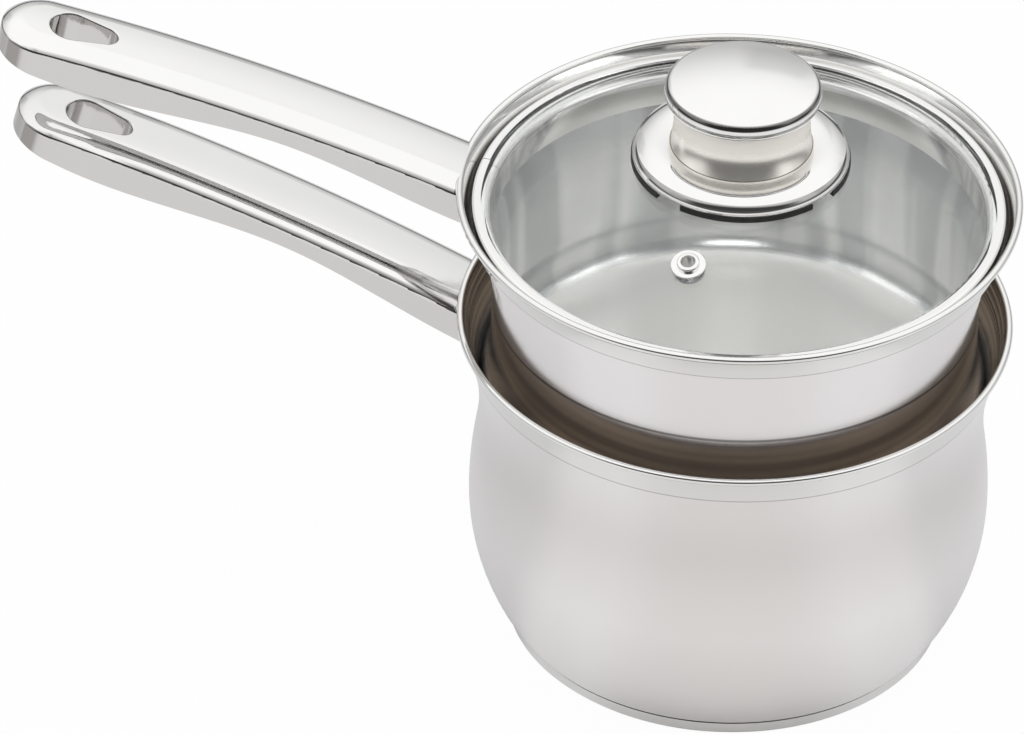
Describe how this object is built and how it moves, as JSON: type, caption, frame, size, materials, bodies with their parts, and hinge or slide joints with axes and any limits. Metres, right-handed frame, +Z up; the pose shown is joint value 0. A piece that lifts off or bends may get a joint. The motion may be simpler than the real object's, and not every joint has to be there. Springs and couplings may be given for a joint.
{
  "type": "double boiler",
  "caption": "Stove-top double boiler: a bellied steel saucepan, a shallower insert pan hung in its mouth, long handles and a vented glass lid.",
  "frame": {"origin": "middle of the underside of the lower pan's base, where it stands on the stove", "axes": "+Z up through the pans' common axis; the insert's handle points along -X, and the lower one is turned 2 degrees from it about Z, as it stands in the picture"},
  "size_m": [0.3296, 0.18, 0.208],
  "materials": {
    "satin_steel": "satin, turned",
    "polished_steel": "mirror polished steel",
    "aluminium_core": "mill",
    "clear_glass": "clear, tempered",
    "black_silicone": "matt",
    "black_plastic": "moulded",
    "brass_bush": "turned",
    "plated_steel": "zinc plated"
  },
  "bodies": {
    "lower_pan": {"lower_pan_body": "satin_steel", "base_cap": "satin_steel", "base_core": "aluminium_core", "handle_shell": "polished_steel", "handle_underside": "polished_steel", "handle_bracket": "satin_steel"},
    "insert_pan": {"insert_pan_body": "satin_steel", "insert_handle_shell": "polished_steel", "insert_handle_underside": "polished_steel", "insert_handle_bracket": "satin_steel"},
    "lid": {"lid_band": "polished_steel", "lid_glass": "clear_glass", "vent_eyelet": "polished_steel", "vent_washer": "plated_steel", "knob_gasket": "black_silicone", "knob_flange": "polished_steel", "knob_neck": "polished_steel", "knob_cap": "polished_steel", "knob_core": "black_plastic", "knob_bush": "brass_bush", "screw_seal": "black_silicone", "screw_washer": "plated_steel", "knob_screw": "plated_steel"}
  },
  "joints": [
    {"name": "insert_lift", "type": "slide", "parent": "lower_pan", "child": "insert_pan", "axis": [0, 0, 1], "range_m": [0, 0.06]},
    {"name": "lid_lift", "type": "slide", "parent": "insert_pan", "child": "lid", "axis": [0, 0, 1], "range_m": [0, 0.05]}
  ]
}
